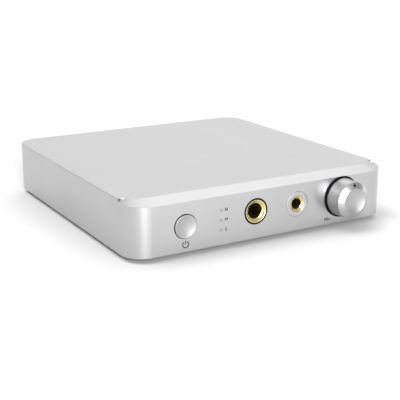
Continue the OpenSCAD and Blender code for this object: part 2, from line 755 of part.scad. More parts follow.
housing();
bottom_cover();
cover_screws();
foot(-1, -1);  // foot_front_left
foot(1, -1);  // foot_front_right
foot(-1, 1);  // foot_rear_left
foot(1, 1);  // foot_rear_right
rear_panel();
rear_panel_screws();
main_board();
board_spacers();
board_screws();
power_button();
switch_plunger();
switch_body();
switch_spring();
lights_board();
lights_header();
light_pipe(0);  // light_pipe_low
light_pipe(1);  // light_pipe_medium
light_pipe(2);  // light_pipe_high
light_led(0);  // light_led_low
light_led(1);  // light_led_medium
light_led(2);  // light_led_high
large_socket_body();
large_socket_sleeve();
large_socket_ring();
large_socket_contacts();
small_socket_body();
small_socket_sleeve();
small_socket_bezel();
small_socket_contacts();
volume_body();
volume_bushing();
volume_washer();
volume_nut();
volume_tracks();
volume_wipers();
volume_shaft();
volume_knob();
knob_index();
knob_screw();
knob_ring();
balanced_body(balanced_x);  // balanced_left_body
balanced_body(balanced_x + balanced_pitch);  // balanced_right_body
balanced_nuts();
phono_block(line_out_x);  // line_out_block
phono_shell(line_out_x - phono_pitch / 2);  // line_out_left
phono_shell(line_out_x + phono_pitch / 2);  // line_out_right
phono_block(line_in_x);  // line_in_block
phono_shell(line_in_x - phono_pitch / 2);  // line_in_left
phono_shell(line_in_x + phono_pitch / 2);  // line_in_right
phono_cores();
inlet_body();
inlet_pin();
capacitors();
relays();
amplifier_chips();
power_coils();
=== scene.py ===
import math

import bpy
from mathutils import Matrix, Vector


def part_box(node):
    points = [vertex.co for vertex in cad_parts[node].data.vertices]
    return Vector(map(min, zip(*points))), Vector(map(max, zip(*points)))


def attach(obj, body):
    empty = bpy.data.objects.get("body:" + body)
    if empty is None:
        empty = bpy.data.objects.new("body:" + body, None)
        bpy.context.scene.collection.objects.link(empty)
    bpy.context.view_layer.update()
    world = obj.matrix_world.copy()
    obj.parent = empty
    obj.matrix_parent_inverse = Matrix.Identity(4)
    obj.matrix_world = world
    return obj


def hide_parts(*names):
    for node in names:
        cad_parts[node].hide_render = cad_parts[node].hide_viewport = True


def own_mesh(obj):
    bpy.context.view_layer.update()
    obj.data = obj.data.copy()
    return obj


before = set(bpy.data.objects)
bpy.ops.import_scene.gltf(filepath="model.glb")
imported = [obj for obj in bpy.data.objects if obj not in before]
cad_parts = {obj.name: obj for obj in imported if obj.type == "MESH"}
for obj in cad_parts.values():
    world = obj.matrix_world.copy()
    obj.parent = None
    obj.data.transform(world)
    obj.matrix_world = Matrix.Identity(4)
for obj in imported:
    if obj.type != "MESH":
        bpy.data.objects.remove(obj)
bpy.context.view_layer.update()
mm = 0.001
print("frame loaded:", len(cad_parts), "CAD nodes")


# small helpers

def hexColour(code):
    # sRGB hex to the linear values that Blender's sockets take
    values = [int(code[i:i + 2], 16) / 255 for i in (1, 3, 5)]
    return [v / 12.92 if v <= 0.04045 else ((v + 0.055) / 1.055) ** 2.4 for v in values] + [1.0]


def addNode(tree, kind, settings, links):
    # settings go to the node's own properties or to its sockets; links run from other nodes
    node = tree.nodes.new("ShaderNode" + kind)
    for name, value in settings.items():
        if isinstance(name, str) and hasattr(node, name):
            setattr(node, name, value)
        else:
            node.inputs[name].default_value = value
    for name, source in links.items():
        tree.links.new(source, node.inputs[name])
    return node


def startMaterial(name, settings):
    material = bpy.data.materials.new(name)
    material.use_nodes = True
    tree = material.node_tree
    tree.nodes.clear()
    shader = addNode(tree, "BsdfPrincipled", settings, {})
    addNode(tree, "OutputMaterial", {}, {"Surface": shader.outputs[0]})
    place = addNode(tree, "TexCoord", {}, {}).outputs["Object"]
    return material, tree, shader, place


def middle(node):
    low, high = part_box(node)
    return (low + high) / 2


# materials: each pattern's scale comes from a real size in millimetres

def drift(tree, place, look, size, spread=0.2):
    # a slow cloud of that size, and the colour that follows it from light to dark
    cloud = addNode(tree, "TexNoise", {"Scale": 1 / (size * mm), "Detail": 2.0}, {"Vector": place})
    tone = addNode(tree, "MapRange", {"From Min": 0.5 - spread, "From Max": 0.5 + spread},
                   {"Value": cloud.outputs["Fac"]})
    colour = addNode(tree, "Mix", {"data_type": "RGBA", 6: hexColour(look["light"]),
                                   7: hexColour(look["dark"])}, {0: tone.outputs[0]})
    return cloud.outputs["Fac"], colour.outputs[2]


def dress(tree, shader, colour, gloss, relief):
    tree.links.new(colour, shader.inputs["Base Color"])
    tree.links.new(gloss.outputs[0], shader.inputs["Roughness"])
    tree.links.new(relief.outputs[0], shader.inputs["Normal"])


def blastedAluminium():
    # aluminium, bead-blasted and then silver anodised: an even satin sheen with a frosted
    # grain and no brushing direction; the grit is drawn about four times too coarse to show
    look = {"light": "#bdbdbe", "dark": "#bababb", "grit": 0.4, "cloud": 22, "roughness": 0.32,
            "swing": 0.03, "frost": 0.1}
    material, tree, shader, place = startMaterial("bead_blasted_silver_aluminium",
                                                  {"Metallic": 1.0})
    grain = addNode(tree, "TexNoise", {"Scale": 1 / (look["grit"] * mm), "Detail": 3.0},
                    {"Vector": place}).outputs["Fac"]
    colour = drift(tree, place, look, look["cloud"], 0.15)[1]
    gloss = addNode(tree, "MapRange", {"From Min": 0.3, "From Max": 0.7,
                                       "To Min": look["roughness"] - look["swing"],
                                       "To Max": look["roughness"] + look["swing"]},
                    {"Value": grain})
    frost = addNode(tree, "Bump", {"Strength": look["frost"], "Distance": 0.02 * mm},
                    {"Height": grain})
    dress(tree, shader, colour, gloss, frost)
    return material


def turnedMetal(name, look, node):
    # metal turned on a lathe about the node's own front-to-back axis: rings of fine tool marks
    # round that axis, which draw the highlights out across them
    material, tree, shader, place = startMaterial(name, {"Metallic": 1.0})
    centred = addNode(tree, "Mapping", {"Location": [-v for v in middle(node)]},
                      {"Vector": place})
    flat = addNode(tree, "VectorMath", {"operation": "MULTIPLY", 1: (1.0, 0.0, 1.0)},
                   {0: centred.outputs[0]})
    radius = addNode(tree, "VectorMath", {"operation": "LENGTH"}, {0: flat.outputs[0]})
    turns = addNode(tree, "Math", {"operation": "MULTIPLY",
                                   1: 2 * math.pi / (look["pitch"] * mm)},
                    {0: radius.outputs["Value"]})
    ring = addNode(tree, "Math", {"operation": "SINE"}, {0: turns.outputs[0]}).outputs[0]
    colour = drift(tree, place, look, 3)[1]
    gloss = addNode(tree, "MapRange", {"From Min": -1.0, "From Max": 1.0,
                                       "To Min": look["roughness"] - 0.03,
                                       "To Max": look["roughness"] + 0.03}, {"Value": ring})
    marks = addNode(tree, "Bump", {"Strength": look["marks"], "Distance": 0.01 * mm},
                    {"Height": ring})
    dress(tree, shader, colour, gloss, marks)
    return material


def platedMetal(name, look):
    # a plated, anodised or blackened metal: one colour that drifts a little over a slow cloud,
    # and a fine grain that breaks up its gloss
    material, tree, shader, place = startMaterial(name, {"Metallic": look.get("metallic", 1.0)})
    grain = addNode(tree, "TexNoise", {"Scale": 1 / (look["grain"] * mm), "Detail": 3.0},
                    {"Vector": place}).outputs["Fac"]
    colour = drift(tree, place, look, 12 * look["grain"])[1]
    gloss = addNode(tree, "MapRange", {"From Min": 0.3, "From Max": 0.7,
                                       "To Min": look["roughness"] * 0.85,
                                       "To Max": look["roughness"] * 1.15}, {"Value": grain})
    skin = addNode(tree, "Bump", {"Strength": 0.08, "Distance": 0.01 * mm}, {"Height": grain})
    dress(tree, shader, colour, gloss, skin)
    return material


def mouldedPlastic(name, look):
    # a moulded or cast polymer: the mould's spark-eroded skin as a fine pebble, with a slight
    # drift of colour and gloss where the melt flowed
    material, tree, shader, place = startMaterial(name, {
        "IOR": 1.5, "Specular IOR Level": look.get("shine", 0.5)})
    pebble = addNode(tree, "TexVoronoi", {"Scale": 1 / (look["grain"] * mm)}, {"Vector": place})
    cloud, colour = drift(tree, place, look, 9 * look["grain"])
    gloss = addNode(tree, "MapRange", {"From Min": 0.3, "From Max": 0.7,
                                       "To Min": look["roughness"] - 0.04,
                                       "To Max": look["roughness"] + 0.04}, {"Value": cloud})
    skin = addNode(tree, "Bump", {"Strength": look.get("bump", 0.15), "Distance": 0.03 * mm},
                   {"Height": pebble.outputs["Distance"]})
    dress(tree, shader, colour, gloss, skin)
    return material


def solderMask():
    # glass-epoxy board under green solder mask: glossy, with the copper showing through as
    # paler lines that stand up a little
    look = {"mask": "#123c29", "copper": "#1d573b", "pitch": 1.7, "roughness": 0.35}
    material, tree, shader, place = startMaterial("green_solder_mask", {"IOR": 1.55})
    tracks = addNode(tree, "TexBrick", {"Scale": 1 / (look["pitch"] * mm), "Mortar Size": 0.08,
                                        "Color1": hexColour(look["mask"]),
                                        "Color2": hexColour(look["mask"]),
                                        "Mortar": hexColour(look["copper"])}, {"Vector": place})
    cloud = addNode(tree, "TexNoise", {"Scale": 1 / (3 * mm)}, {"Vector": place})
    gloss = addNode(tree, "MapRange", {"From Min": 0.3, "From Max": 0.7,
                                       "To Min": look["roughness"] - 0.05,
                                       "To Max": look["roughness"] + 0.05},
                    {"Value": cloud.outputs["Fac"]})
    relief = addNode(tree, "Bump", {"Strength": 0.2, "Distance": 0.03 * mm},
                     {"Height": tracks.outputs["Fac"]})
    dress(tree, shader, tracks.outputs["Color"], gloss, relief)
    return material


paint = {
    "shell": blastedAluminium(),
    "knob": turnedMetal("turned_silver_anodised_knob", {
        "light": "#b3b3b4", "dark": "#aeaeaf", "pitch": 0.22, "roughness": 0.38,
        "marks": 0.12}, "volume_knob"),
    "button": turnedMetal("turned_silver_anodised_button", {
        "light": "#b2b2b3", "dark": "#adadae", "pitch": 0.2, "roughness": 0.38,
        "marks": 0.08}, "power_button"),
    "bezel": turnedMetal("turned_silver_anodised_bezel", {
        "light": "#bdbdbe", "dark": "#b8b8b9", "pitch": 0.2, "roughness": 0.36,
        "marks": 0.05}, "small_socket_bezel"),
    # dyed black anodising: dark grey with a soft metal sheen
    "black": platedMetal("black_anodised_aluminium", {
        "light": "#232426", "dark": "#1a1b1d", "roughness": 0.42, "grain": 0.3,
        "metallic": 0.7}),
    # black oxide on a machine screw: nearly black, with an oily half gloss
    "screw": platedMetal("black_oxide_steel", {
        "light": "#28292c", "dark": "#1b1c1e", "roughness": 0.36, "grain": 0.2,
        "metallic": 0.8}),
    # hard gold on bright nickel: mirror-like and warm
    "gold": platedMetal("gold_plated_brass", {
        "light": "#f3e6b0", "dark": "#e9d898", "roughness": 0.24, "grain": 0.4}),
    # barrel-plated nickel: bright with a faint warm haze
    "nickel": platedMetal("nickel_plated_steel", {
        "light": "#cfcecb", "dark": "#bfbebb", "roughness": 0.28, "grain": 0.3}),
    # lathe-turned brass, left bare: yellow and a little dull
    "brass": platedMetal("turned_brass", {
        "light": "#cfae62", "dark": "#b8954a", "roughness": 0.3, "grain": 0.3}),
    # drawn spring wire: grey steel with drawing lines
    "spring": platedMetal("drawn_spring_steel", {
        "light": "#a9abad", "dark": "#8f9194", "roughness": 0.3, "grain": 0.1}),
    # silicone rubber: dead matt black that takes dust
    "rubber": mouldedPlastic("black_silicone_rubber", {
        "light": "#202020", "dark": "#171717", "roughness": 0.78, "grain": 0.35}),
    # glass-filled nylon: black and semi-matt, with a pebbled skin
    "nylon": mouldedPlastic("black_glass_filled_nylon", {
        "light": "#1c1c1d", "dark": "#131314", "roughness": 0.5, "grain": 0.25}),
    # satin ABS: deep black, with hardly any sheen
    "gloss": mouldedPlastic("black_satin_abs", {
        "light": "#0b0a08", "dark": "#070605", "roughness": 0.5, "grain": 0.3, "bump": 0.05,
        "shine": 0.12}),
    # acetal: milky, waxy white
    "white": mouldedPlastic("white_acetal", {
        "light": "#e8e6e0", "dark": "#dddbd4", "roughness": 0.4, "grain": 0.3, "bump": 0.05}),
    # acetal dyed right through
    "red": mouldedPlastic("red_acetal", {
        "light": "#b3231f", "dark": "#a01c19", "roughness": 0.4, "grain": 0.3, "bump": 0.05}),
    # frosted smoked acrylic: pale grey while its light is off
    "pipe": mouldedPlastic("frosted_acrylic", {
        "light": "#8b8c8e", "dark": "#838486", "roughness": 0.65, "grain": 0.4, "bump": 0.02,
        "shine": 0.15}),
    # phosphor under clear epoxy: yellow while it is off
    "led": mouldedPlastic("yellow_phosphor_epoxy", {
        "light": "#e6d98a", "dark": "#d9c974", "roughness": 0.3, "grain": 0.2, "bump": 0.03}),
    "board": solderMask(),
    # paper-phenolic sheet: brown, with a resin gloss
    "phenolic": mouldedPlastic("brown_phenolic_laminate", {
        "light": "#5a3a22", "dark": "#4a2f1b", "roughness": 0.5, "grain": 0.3}),
    # PVC shrink sleeve: dark blue and glossy
    "sleeve": mouldedPlastic("navy_shrink_sleeve", {
        "light": "#1c2433", "dark": "#151b28", "roughness": 0.3, "grain": 0.6, "bump": 0.03}),
    # PBT polyester: cream and slightly shiny
    "relay": mouldedPlastic("cream_pbt", {
        "light": "#dcd6c6", "dark": "#cfc9b8", "roughness": 0.45, "grain": 0.3}),
    # transfer-moulded epoxy: charcoal, dry and grainy
    "epoxy": mouldedPlastic("charcoal_moulding_epoxy", {
        "light": "#1e1e1f", "dark": "#151516", "roughness": 0.6, "grain": 0.15}),
    # sintered ferrite: dark grey ceramic with a dull glint
    "ferrite": mouldedPlastic("sintered_ferrite", {
        "light": "#33343a", "dark": "#27282c", "roughness": 0.55, "grain": 0.2}),
    # screen-printed epoxy ink: a thin matt film, nearly black
    "ink": mouldedPlastic("grey_screen_ink", {
        "light": "#1a1a1c", "dark": "#141416", "roughness": 0.7, "grain": 0.1, "bump": 0.05,
        "shine": 0.15}),
    # enamel wiped into a drilled spot: deep black, and matt
    "blackInk": mouldedPlastic("black_enamel_fill", {
        "light": "#050505", "dark": "#030303", "roughness": 0.6, "grain": 0.2, "bump": 0.05,
        "shine": 0.08}),
    # the same ink in pale grey, for legends on black
    "paleInk": mouldedPlastic("pale_grey_screen_ink", {
        "light": "#c9cacc", "dark": "#bebfc2", "roughness": 0.55, "grain": 0.1, "bump": 0.05}),
}
print("materials made:", len(paint))


# modelling helpers, each running the operators that work by hand would use

past = 1  # how far a cutting tool runs on past what it cuts, in millimetres


def closeUp():
    # in edit mode: merges doubled points, points the faces outwards and leaves edit mode
    bpy.ops.mesh.select_all(action="SELECT")
    bpy.ops.mesh.remove_doubles(threshold=0.0005 * mm)
    bpy.ops.mesh.normals_make_consistent(inside=False)
    bpy.ops.object.mode_set(mode="OBJECT")


def editOnly(piece):
    if bpy.context.mode != "OBJECT":
        bpy.ops.object.mode_set(mode="OBJECT")
    bpy.ops.object.select_all(action="DESELECT")
    bpy.context.view_layer.objects.active = piece
    piece.select_set(True)


def pick(piece, kind, test):
    # leaves the piece in edit mode with only the vertices, edges or faces that pass the test
    editOnly(piece)
    bpy.ops.object.mode_set(mode="EDIT")
    bpy.ops.mesh.select_mode(type=kind)
    bpy.ops.mesh.select_all(action="DESELECT")
    bpy.ops.object.mode_set(mode="OBJECT")
    mesh = piece.data
    for element in {"VERT": mesh.vertices, "EDGE": mesh.edges, "FACE": mesh.polygons}[kind]:
        element.select = test(element, mesh)
    bpy.ops.object.mode_set(mode="EDIT")


def applyModifier(piece, kind, settings):
    modifier = piece.modifiers.new(kind.lower(), kind)
    for name, value in settings.items():
        setattr(modifier, name, value)
    editOnly(piece)
    bpy.ops.object.modifier_apply(modifier=modifier.name)


def cut(piece, tool, operation="DIFFERENCE"):
    applyModifier(piece, "BOOLEAN", {"operation": operation, "object": tool, "solver": "EXACT"})
    bpy.data.objects.remove(tool)


def block(name, low, high, radius=0.0, segments=16, edge=0.0):
    # a box between two corners, in millimetres: its upright edges can be rounded, and the
    # outlines of its top and underside broken by a small bevel
    low = Vector(low) * mm
    high = Vector(high) * mm
    bpy.ops.object.select_all(action="DESELECT")
    bpy.ops.mesh.primitive_cube_add(size=1, location=(low + high) / 2, scale=high - low)
    piece = bpy.context.object
    piece.name = name
    bpy.ops.object.transform_apply(location=True, rotation=True, scale=True)
    if radius:
        tall = 0.9 * (high.z - low.z)
        pick(piece, "EDGE", lambda e, m: abs(m.vertices[e.vertices[0]].co.z
                                             - m.vertices[e.vertices[1]].co.z) > tall)
        bpy.ops.mesh.bevel(offset=radius * mm, segments=segments, affect="EDGES")
        bpy.ops.object.mode_set(mode="OBJECT")
    if edge:
        pick(piece, "EDGE", lambda e, m: abs(m.vertices[e.vertices[0]].co.z
                                             - m.vertices[e.vertices[1]].co.z) < 0.01 * mm)
        bpy.ops.mesh.bevel(offset=edge * mm, segments=2, affect="EDGES")
        bpy.ops.object.mode_set(mode="OBJECT")
    return piece


def turned(name, steps, towards, place, segments=96):
    # a lathe job in millimetres: a ring is drawn out and scaled through each (radius, distance)
    # step; if the last step is the first again the piece is a ring, and otherwise it is solid
    ring = steps[0] == steps[-1]
    bpy.ops.object.select_all(action="DESELECT")
    bpy.ops.mesh.primitive_circle_add(vertices=segments, radius=steps[0][0] * mm,
                                      location=(0, 0, steps[0][1] * mm),
                                      fill_type="NOTHING" if ring else "NGON")
    piece = bpy.context.object
    piece.name = name
    bpy.ops.object.transform_apply(location=True, rotation=True, scale=True)
    bpy.ops.object.mode_set(mode="EDIT")
    bpy.ops.mesh.select_all(action="SELECT")
    for (r0, d0), (r1, d1) in zip(steps, steps[1:]):
        rise = {"value": (0, 0, (d1 - d0) * mm)}
        if ring:
            bpy.ops.mesh.extrude_edges_move(TRANSFORM_OT_translate=rise)
        else:
            bpy.ops.mesh.extrude_region_move(TRANSFORM_OT_translate=rise)
        bpy.ops.transform.resize(value=(r1 / r0, r1 / r0, 1), center_override=(0, 0, 0))
    closeUp()
    piece.rotation_euler[0] = {"up": 0, "front": math.pi / 2, "rear": -math.pi / 2}[towards]
    piece.location = place
    bpy.ops.object.transform_apply(location=True, rotation=True, scale=True)
    return piece


def hollow(rim, height, depth, rings=10, last=0.35):
    # lathe steps down into a spherical hollow of that rim radius and depth
    ball = (rim ** 2 + depth ** 2) / (2 * depth)
    radii = [rim + (last - rim) * i / rings for i in range(1, rings + 1)]
    return [(r, height - depth + ball - math.sqrt(ball ** 2 - r ** 2)) for r in radii]


def soften(piece, width=0.0, sharpAngle=30, bevelAngle=35):
    # breaks every real edge by the width in millimetres, and keeps the flats flat
    editOnly(piece)
    bpy.ops.object.shade_smooth_by_angle(angle=math.radians(sharpAngle))
    if width:
        applyModifier(piece, "BEVEL", {"width": width * mm, "segments": 2,
                                       "limit_method": "ANGLE",
                                       "angle_limit": math.radians(bevelAngle),
                                       "use_clamp_overlap": False})
    applyModifier(piece, "WEIGHTED_NORMAL", {"keep_sharp": True, "weight": 50})


def finish(piece, slot, material, *nodes, body="chassis"):
    piece.data.materials.clear()
    piece.data.materials.append(material)
    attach(piece, body)
    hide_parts(*nodes)
    return piece


def copyTo(piece, name, shift):
    # a further one of a repeated piece, with its own mesh
    twin = bpy.data.objects.new(name, piece.data.copy())
    bpy.context.collection.objects.link(twin)
    twin.data.transform(Matrix.Translation(shift))
    return twin


caseLow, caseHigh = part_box("housing")
front = caseLow.y
rear = caseHigh.y
left = caseLow.x / mm
right = caseHigh.x / mm
frontMm = front / mm
rearMm = rear / mm
base = caseLow.z / mm
roof = caseHigh.z / mm


def frontPlace(node):
    # the point on the front face that a node's axis passes through
    centre = middle(node)
    return Vector((centre.x, front, centre.z))


def rearPlace(node):
    centre = middle(node)
    return Vector((centre.x, rear, centre.z))


# the case shell: one aluminium piece, open underneath and at the rear

shell = {"corner": 9, "side": 2.5, "front": 3, "rear": 3.5, "roof": 2.2, "rim": 1.2, "cover": 1.5,
         "bandRun": 6.4, "bandDrop": 1.8, "bandBack": 4.4, "bandWrap": 53.5, "endMill": 2.5,
         "millDepth": 3, "pocketWrap": 25, "panelEdge": 9.9, "panelDepth": 1.5, "ledge": 4.6,
         "windowTop": 3.3, "windowDepth": 5, "postRadius": 3.2, "postRoot": 0.5,
         "screwHead": 2.3, "threadRadius": 1.3, "threadDepth": 8.5, "edge": 0.22}


def bandTool(wrap):
    # the waste above the sloping band: a wedge along the front, spun round both corners about
    # points set back from the corners' own centres
    slope = shell["bandDrop"] / shell["bandRun"]
    end = right - shell["corner"]
    run = shell["bandRun"] + 2 * past  # the tool starts a little above and behind the band
    backY = frontMm + shell["corner"] + shell["bandBack"]
    tool = block("band_tool", (-end, frontMm - past, roof + slope * past),
                 (end, frontMm - past + run, roof + 2 * past))
    pick(tool, "VERT", lambda v, m: v.co.y < front and v.co.z < (roof + past) * mm)
    bpy.ops.transform.translate(value=(0, 0, -slope * run * mm))
    for side in (-1, 1):
        pick(tool, "FACE", lambda f, m: abs(f.center.x - side * end * mm) < 0.01 * mm)
        bpy.ops.mesh.spin(steps=32, angle=-side * math.radians(wrap),
                          center=(side * end * mm, backY * mm, 0), axis=(0, 0, 1))
        bpy.ops.mesh.select_all(action="SELECT")
        bpy.ops.mesh.remove_doubles(threshold=0.0005 * mm)
    bpy.ops.mesh.normals_make_consistent(inside=False)
    bpy.ops.object.mode_set(mode="OBJECT")
    return tool


def cutBand(body):
    # the band, and the round pocket that the milling cutter leaves where it stops at each side
    cut(body, bandTool(shell["bandWrap"]))
    wrap = math.radians(shell["bandWrap"])
    cutter = shell["endMill"]
    reach = shell["corner"] + shell["bandBack"] - shell["bandRun"] + cutter
    for side in (-1, 1):
        x = side * (right - shell["corner"] + reach * math.sin(wrap))
        y = frontMm + shell["corner"] + shell["bandBack"] - reach * math.cos(wrap)
        sweep = bandTool(shell["bandWrap"] + shell["pocketWrap"])
        cut(sweep, turned("end_mill", [(cutter, roof - shell["millDepth"]),
                                       (cutter, roof + past)], "up",
                          (x * mm, y * mm, 0), 64), "INTERSECT")
        cut(body, sweep)


def makeShell():
    body = block("case_shell", (left, frontMm, base), (right, rearMm, roof), shell["corner"], 32,
                 shell["edge"])
    inside = roof - shell["roof"]
    below = base - past
    behind = rearMm + past
    cut(body, block("room", (left + shell["side"], frontMm + shell["front"], below),
                    (right - shell["side"], rearMm - shell["rear"], inside),
                    shell["corner"] - shell["side"], 20))
    low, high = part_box("cover_screws")
    head = shell["screwHead"]
    for x in (low.x / mm + head, high.x / mm - head):
        for y in (low.y / mm + head, high.y / mm - head):
            place = (x * mm, y * mm, 0)
            radius = shell["postRadius"]
            cut(body, turned("post", [(radius, base + shell["cover"]),
                                      (radius, inside + shell["postRoot"])], "up", place, 48),
                "UNION")
            radius = shell["threadRadius"]
            cut(body, turned("thread_hole", [(radius, base), (radius, base + shell["threadDepth"])],
                             "up", place, 32))
    cut(body, block("cover_seat", (left + shell["rim"], frontMm + shell["rim"], below),
                    (right - shell["rim"], rearMm - shell["panelDepth"], base + shell["cover"]),
                    shell["corner"] - shell["rim"], 20))
    edge = shell["panelEdge"]
    window = edge + shell["ledge"]
    cut(body, block("rear_window", (left + window, rearMm - shell["windowDepth"], below),
                    (right - window, behind, roof - shell["windowTop"])))
    cut(body, block("panel_seat", (left + edge, rearMm - shell["panelDepth"], below),
                    (right - edge, behind, inside)))
    cutBand(body)
    holes = {"power_button": 4.83, "large_socket_ring": 5.3, "small_socket_bezel": 5.2,
             "volume_bushing": 4.1, "light_pipe_low": 0.64, "light_pipe_medium": 0.64,
             "light_pipe_high": 0.64}
    for node, radius in holes.items():
        cut(body, turned("drill", [(radius, -shell["front"] - past), (radius, past)], "front",
                         frontPlace(node), 64 if radius > 1 else 32))
    soften(body, sharpAngle=9)
    finish(body, "shell_aluminium", paint["shell"], "housing")


makeShell()
print("case shell done")


# the bottom cover, its countersunk screws and the feet

def makeUnderside():
    look = {"gap": 0.1, "edge": 0.2, "sink": [(2.45, -0.1), (2.35, 0), (1.3, 1.25), (1.3, 2.5)],
            "screw": [(1.15, 6), (1.25, 5.85), (1.25, 1.3), (2.2, 0.14), (2.24, 0.05), (2.18, 0.0)],
            "key": [(0.75, -0.2), (0.75, 0.95)]}
    low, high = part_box("bottom_cover")
    cover = block("base_cover", low / mm, high / mm,
                  shell["corner"] - shell["rim"] - look["gap"], 24)
    low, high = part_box("cover_screws")
    r = shell["screwHead"] * mm
    places = {end + "_" + side: Vector((x, y, low.z))
              for end, y in (("front", low.y + r), ("rear", high.y - r))
              for side, x in (("left", low.x + r), ("right", high.x - r))}
    for place in places.values():
        cut(cover, turned("countersink", look["sink"], "up", place, 48))
    soften(cover, look["edge"], bevelAngle=60)
    finish(cover, "black_aluminium", paint["black"], "bottom_cover")

    screw = turned("cover_screw", look["screw"], "up", (0, 0, 0), 48)
    cut(screw, turned("hex_key", look["key"], "up", (0, 0, 0), 6))
    soften(screw)
    for name, place in places.items():
        piece = copyTo(screw, "cover_screw_" + name, place)
        finish(piece, "black_screw", paint["screw"], "cover_screws")
    bpy.data.objects.remove(screw)

    foot = {"radius": 5, "round": 0.45, "pad": 3.4, "hollow": 0.12}
    k = foot["round"]
    steps = [(foot["radius"], base), (foot["radius"], k)]
    steps += [(foot["radius"] - k + k * math.cos(a), k - k * math.sin(a))
              for a in (0.35, 0.7, 1.05, 1.4, 1.57)]
    steps += [(foot["pad"], 0.0), (foot["pad"] - 0.2, foot["hollow"]), (0.4, foot["hollow"])]
    for name in places:
        centre = middle("foot_" + name)
        piece = turned("rubber_foot_" + name, steps, "up", (centre.x, centre.y, 0), 64)
        soften(piece, sharpAngle=40)
        finish(piece, "foot_rubber", paint["rubber"], "foot_" + name)


makeUnderside()
print("underside done")


# the volume knob with its index dot, and the dark ring at its foot

def makeKnob():
    knob = {"back": 0.7, "backRadius": 7.8, "side": 7.4, "frontRadius": 7.5, "front": 8.8,
            "rim": 5.25, "dish": 1.0, "recess": 6.09, "recessEnd": 3.8, "bore": 3.05,
            "boreEnd": 7.1, "dot": 0.54, "dotDepth": 0.6, "grub": 1.55}
    steps = [(knob["bore"], knob["boreEnd"]), (knob["bore"], knob["recessEnd"]),
             (knob["recess"], knob["recessEnd"]), (knob["recess"], knob["back"] + 0.1),
             (knob["recess"] + 0.1, knob["back"]), (knob["backRadius"] - 0.15, knob["back"]),
             (knob["backRadius"], knob["back"] + 0.15),
             (knob["frontRadius"] + 0.01, knob["side"] - 0.12),
             (knob["frontRadius"] - 0.03, knob["side"] - 0.03),
             (knob["frontRadius"] - 0.12, knob["side"] + 0.05),
             (knob["rim"] + 0.12, knob["front"] - 0.07), (knob["rim"], knob["front"] - 0.02)]
    steps += hollow(knob["rim"], knob["front"], knob["dish"], 14)
    piece = turned("knob_body", steps, "front", frontPlace("volume_knob"), 128)
    dot = frontPlace("knob_index")
    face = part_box("knob_index")[0].y
    cut(piece, turned("dot_drill", [(knob["dot"], 6.5), (knob["dot"], knob["front"] + past)],
                      "front", dot, 40))
    grub = middle("knob_screw")
    cut(piece, turned("grub_drill", [(knob["grub"], -9), (knob["grub"], -2.2)], "up",
                      (grub.x, grub.y, dot.z), 40))
    soften(piece, sharpAngle=28)
    finish(piece, "control_aluminium", paint["knob"], "volume_knob", body="knob")

    depth = (front - face) / mm
    index = turned("knob_index_dot", [(knob["dot"], depth - knob["dotDepth"]),
                                      (knob["dot"], depth - 0.1), (knob["dot"] * 0.8, depth),
                                      (0.1, depth + 0.03)], "front", dot, 40)
    soften(index, sharpAngle=60)
    finish(index, "index_paint", paint["blackInk"], "knob_index", body="knob")

    ring = {"inner": 6.1, "outer": 8.5, "thick": 0.4, "round": 0.12}
    k = ring["round"]
    steps = [(ring["inner"], 0.0), (ring["outer"], 0.0), (ring["outer"], ring["thick"] - k),
             (ring["outer"] - k, ring["thick"]), (ring["inner"] + k, ring["thick"]),
             (ring["inner"], ring["thick"] - k), (ring["inner"], 0.0)]
    piece = turned("knob_foot_ring", steps, "front", frontPlace("knob_ring"), 128)
    soften(piece)
    finish(piece, "black_plastic", paint["gloss"], "knob_ring")


makeKnob()
print("knob done")


# the power button: a dished cap on a plate that stops it behind the wall

def makeButton():
    button = {"radius": 4.55, "proud": 0.6, "rim": 0.28, "dish": 0.55, "wall": 3.1, "root": 0.4,
              "plate": (13, 0.8, 8), "stem": 1.5, "stemEnd": 10}
    inside = -(button["wall"] + button["root"])
    radius, proud = button["radius"], button["proud"]
    steps = [(radius, inside), (radius, proud - 0.12), (radius - 0.04, proud - 0.03),
             (radius - 0.12, proud), (radius - button["rim"], proud)]
    steps += hollow(radius - button["rim"], proud, button["dish"], 12)
    place = frontPlace("power_button")
    piece = turned("power_button_cap", steps, "front", place, 96)
    x, z = place.x / mm, place.z / mm
    w, t, h = button["plate"]
    y = frontMm + button["wall"]
    cut(piece, block("plate", (x - w / 2, y, z - h / 2), (x + w / 2, y + t, z + h / 2)), "UNION")
    cut(piece, turned("stem", [(button["stem"], inside + 0.1),
                               (button["stem"], -button["stemEnd"])], "front", place, 48),
        "UNION")
    soften(piece, sharpAngle=28)
    finish(piece, "control_aluminium", paint["button"], "power_button", body="button")


makeButton()
print("power button done")
